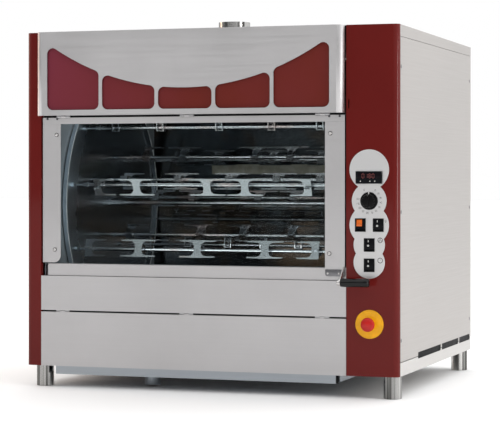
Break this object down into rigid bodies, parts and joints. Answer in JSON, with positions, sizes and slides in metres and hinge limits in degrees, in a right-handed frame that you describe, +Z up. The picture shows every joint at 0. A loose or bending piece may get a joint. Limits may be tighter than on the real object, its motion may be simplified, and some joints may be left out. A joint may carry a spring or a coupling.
{
  "type": "rotisserie oven",
  "caption": "Commercial planetary rotisserie oven: glazed lift-up door, spits with forks turning on a two-disc rotor, side control panel, hinged lower flap and pull-out drip tray.",
  "frame": {"origin": "middle of the footprint, on the floor under the feet", "axes": "+X to the right seen from the front, along the spits; +Y from the door to the rear; +Z up"},
  "size_m": [1.155, 1.0015, 1.112],
  "materials": {
    "stainless_plain": "satin",
    "polished_tube": "polished",
    "warm_panel": "satin",
    "burgundy_paint": "gloss",
    "brushed_front": "satin",
    "red_backing": "gloss",
    "mirror_liner": "mirror",
    "hinge_steel": "satin",
    "element_steel": "oxidised",
    "lamp_glass": "frosted",
    "motor_paint": "semi-gloss",
    "chain_steel": "oiled",
    "black_plastic": "fine grain",
    "control_steel": "brushed",
    "yellow_plastic": "gloss",
    "mirror_disc": "mirror",
    "spit_steel": "polished",
    "clear_glass": "clear",
    "grip_plastic": "gloss",
    "tray_steel": "satin",
    "knob_plastic": "fine grain",
    "lit_rocker": "translucent",
    "rocker_plastic": "gloss",
    "red_plastic": "gloss"
  },
  "bodies": {
    "cabinet": {"base_frame": "stainless_plain", "feet": "polished_tube", "left_side_panel": "warm_panel", "right_side_panel": "warm_panel", "rear_panel": "warm_panel", "top_cover": "warm_panel", "exhaust_stub": "polished_tube", "left_column": "burgundy_paint", "right_column": "burgundy_paint", "hood_panel": "brushed_front", "hood_backing": "red_backing", "cavity_liner": "mirror_liner", "sill": "brushed_front", "upper_fascia": "brushed_front", "panel_hinges": "hinge_steel", "heating_elements": "element_steel", "rear_lamp_bar": "lamp_glass", "planet_tracks": "hinge_steel", "shaft_bearings": "hinge_steel", "gear_motor": "motor_paint", "drive_chain": "chain_steel", "cable_gland": "black_plastic", "control_plate": "control_steel", "display": "black_plastic", "switch_bezels": "black_plastic", "stop_plate": "yellow_plastic"},
    "rotor": {"left_disc": "mirror_disc", "right_disc": "mirror_disc", "centre_shaft": "spit_steel", "shaft_sprocket": "chain_steel"},
    "door": {"door_rails": "brushed_front", "door_glass": "clear_glass", "door_handle": "grip_plastic"},
    "flap": {"lower_flap": "brushed_front"},
    "tray": {"drip_tray": "tray_steel"},
    "knob": {"timer_knob": "knob_plastic"},
    "power_switch": {"power_rocker": "lit_rocker"},
    "light_switch": {"light_rocker": "rocker_plastic"},
    "rotor_switch": {"rotor_rocker": "rocker_plastic"},
    "heat_switch": {"heat_rocker": "rocker_plastic"},
    "stop_button": {"stop_mushroom": "red_plastic"},
    "button_1": {"display_button_1": "rocker_plastic"},
    "button_2": {"display_button_2": "rocker_plastic"},
    "button_3": {"display_button_3": "rocker_plastic"},
    "motor_wheel": {"motor_sprocket": "chain_steel"},
    "outer_spindle_1": {"outer_spit_1": "spit_steel"},
    "outer_spindle_2": {"outer_spit_2": "spit_steel"},
    "outer_spindle_3": {"outer_spit_3": "spit_steel"},
    "outer_spindle_4": {"outer_spit_4": "spit_steel"},
    "outer_spindle_5": {"outer_spit_5": "spit_steel"},
    "outer_spindle_6": {"outer_spit_6": "spit_steel"},
    "outer_spindle_7": {"outer_spit_7": "spit_steel"},
    "outer_spindle_8": {"outer_spit_8": "spit_steel"},
    "outer_spindle_9": {"outer_spit_9": "spit_steel"},
    "outer_spindle_10": {"outer_spit_10": "spit_steel"},
    "inner_spindle_1": {"inner_spit_1": "spit_steel"},
    "inner_spindle_2": {"inner_spit_2": "spit_steel"},
    "inner_spindle_3": {"inner_spit_3": "spit_steel"},
    "inner_spindle_4": {"inner_spit_4": "spit_steel"},
    "inner_spindle_5": {"inner_spit_5": "spit_steel"}
  },
  "joints": [
    {"name": "rotor_spin", "type": "hinge", "parent": "cabinet", "child": "rotor", "pos_m": [0, 0.06775, 0.547], "axis": [1, 0, 0], "continuous": true},
    {"name": "motor_spin", "type": "hinge", "parent": "cabinet", "child": "motor_wheel", "pos_m": [0, 0.06775, 0.254], "axis": [1, 0, 0], "continuous": true},
    {"name": "door_lift", "type": "hinge", "parent": "cabinet", "child": "door", "pos_m": [0, -0.44275, 0.81], "axis": [-1, 0, 0], "range_deg": [0, 90]},
    {"name": "flap_lift", "type": "hinge", "parent": "cabinet", "child": "flap", "pos_m": [0, -0.44725, 0.2285], "axis": [-1, 0, 0], "range_deg": [0, 90]},
    {"name": "tray_slide", "type": "slide", "parent": "cabinet", "child": "tray", "axis": [0, -1, 0], "range_m": [0, 0.45]},
    {"name": "knob_turn", "type": "hinge", "parent": "cabinet", "child": "knob", "pos_m": [0.491, -0.44825, 0.5625], "axis": [0, 1, 0], "range_deg": [0, 300]},
    {"name": "power_rock", "type": "hinge", "parent": "cabinet", "child": "power_switch", "pos_m": [0.4655, -0.44525, 0.494], "axis": [1, 0, 0], "range_deg": [0, 20]},
    {"name": "light_rock", "type": "hinge", "parent": "cabinet", "child": "light_switch", "pos_m": [0.518, -0.44525, 0.494], "axis": [1, 0, 0], "range_deg": [0, 20]},
    {"name": "rotor_rock", "type": "hinge", "parent": "cabinet", "child": "rotor_switch", "pos_m": [0.4915, -0.44525, 0.4375], "axis": [1, 0, 0], "range_deg": [0, 20]},
    {"name": "heat_rock", "type": "hinge", "parent": "cabinet", "child": "heat_switch", "pos_m": [0.4915, -0.44525, 0.38], "axis": [1, 0, 0], "range_deg": [0, 20]},
    {"name": "stop_press", "type": "slide", "parent": "cabinet", "child": "stop_button", "axis": [0, 1, 0], "range_m": [0, 0.005]},
    {"name": "button_1_press", "type": "slide", "parent": "cabinet", "child": "button_1", "axis": [0, 1, 0], "range_m": [0, 0.0007], "stiffness_N_per_m": 300, "springref_m": -0.001},
    {"name": "button_2_press", "type": "slide", "parent": "cabinet", "child": "button_2", "axis": [0, 1, 0], "range_m": [0, 0.0007], "stiffness_N_per_m": 300, "springref_m": -0.001},
    {"name": "button_3_press", "type": "slide", "parent": "cabinet", "child": "button_3", "axis": [0, 1, 0], "range_m": [0, 0.0007], "stiffness_N_per_m": 300, "springref_m": -0.001},
    {"name": "outer_spin_1", "type": "hinge", "parent": "rotor", "child": "outer_spindle_1", "pos_m": [0, -0.25181, 0.60623], "axis": [1, 0, 0], "continuous": true},
    {"name": "outer_spin_2", "type": "hinge", "parent": "rotor", "child": "outer_spindle_2", "pos_m": [0, -0.22559, 0.40708], "axis": [1, 0, 0], "continuous": true},
    {"name": "outer_spin_3", "type": "hinge", "parent": "rotor", "child": "outer_spindle_3", "pos_m": [0, -0.08733, 0.26138], "axis": [1, 0, 0], "continuous": true},
    {"name": "outer_spin_4", "type": "hinge", "parent": "rotor", "child": "outer_spindle_4", "pos_m": [0, 0.11017, 0.22478], "axis": [1, 0, 0], "continuous": true},
    {"name": "outer_spin_5", "type": "hinge", "parent": "rotor", "child": "outer_spindle_5", "pos_m": [0, 0.29146, 0.31125], "axis": [1, 0, 0], "continuous": true},
    {"name": "outer_spin_6", "type": "hinge", "parent": "rotor", "child": "outer_spindle_6", "pos_m": [0, 0.38731, 0.48777], "axis": [1, 0, 0], "continuous": true},
    {"name": "outer_spin_7", "type": "hinge", "parent": "rotor", "child": "outer_spindle_7", "pos_m": [0, 0.36109, 0.68692], "axis": [1, 0, 0], "continuous": true},
    {"name": "outer_spin_8", "type": "hinge", "parent": "rotor", "child": "outer_spindle_8", "pos_m": [0, 0.22283, 0.83262], "axis": [1, 0, 0], "continuous": true},
    {"name": "outer_spin_9", "type": "hinge", "parent": "rotor", "child": "outer_spindle_9", "pos_m": [0, 0.02533, 0.86922], "axis": [1, 0, 0], "continuous": true},
    {"name": "outer_spin_10", "type": "hinge", "parent": "rotor", "child": "outer_spindle_10", "pos_m": [0, -0.15596, 0.78275], "axis": [1, 0, 0], "continuous": true},
    {"name": "inner_spin_1", "type": "hinge", "parent": "rotor", "child": "inner_spindle_1", "pos_m": [0, -0.06215, 0.622], "axis": [1, 0, 0], "continuous": true},
    {"name": "inner_spin_2", "type": "hinge", "parent": "rotor", "child": "inner_spindle_2", "pos_m": [0, -0.04372, 0.44663], "axis": [1, 0, 0], "continuous": true},
    {"name": "inner_spin_3", "type": "hinge", "parent": "rotor", "child": "inner_spindle_3", "pos_m": [0, 0.12876, 0.40997], "axis": [1, 0, 0], "continuous": true},
    {"name": "inner_spin_4", "type": "hinge", "parent": "rotor", "child": "inner_spindle_4", "pos_m": [0, 0.21693, 0.56268], "axis": [1, 0, 0], "continuous": true},
    {"name": "inner_spin_5", "type": "hinge", "parent": "rotor", "child": "inner_spindle_5", "pos_m": [0, 0.09894, 0.69372], "axis": [1, 0, 0], "continuous": true}
  ],
  "couplings": [
    {"joint": "motor_spin", "follows": "rotor_spin", "ratio": 2},
    {"joint": "outer_spin_1", "follows": "rotor_spin", "ratio": -9.125},
    {"joint": "outer_spin_2", "follows": "rotor_spin", "ratio": -9.125},
    {"joint": "outer_spin_3", "follows": "rotor_spin", "ratio": -9.125},
    {"joint": "outer_spin_4", "follows": "rotor_spin", "ratio": -9.125},
    {"joint": "outer_spin_5", "follows": "rotor_spin", "ratio": -9.125},
    {"joint": "outer_spin_6", "follows": "rotor_spin", "ratio": -9.125},
    {"joint": "outer_spin_7", "follows": "rotor_spin", "ratio": -9.125},
    {"joint": "outer_spin_8", "follows": "rotor_spin", "ratio": -9.125},
    {"joint": "outer_spin_9", "follows": "rotor_spin", "ratio": -9.125},
    {"joint": "outer_spin_10", "follows": "rotor_spin", "ratio": -9.125},
    {"joint": "inner_spin_1", "follows": "rotor_spin", "ratio": 2.75},
    {"joint": "inner_spin_2", "follows": "rotor_spin", "ratio": 2.75},
    {"joint": "inner_spin_3", "follows": "rotor_spin", "ratio": 2.75},
    {"joint": "inner_spin_4", "follows": "rotor_spin", "ratio": 2.75},
    {"joint": "inner_spin_5", "follows": "rotor_spin", "ratio": 2.75}
  ]
}
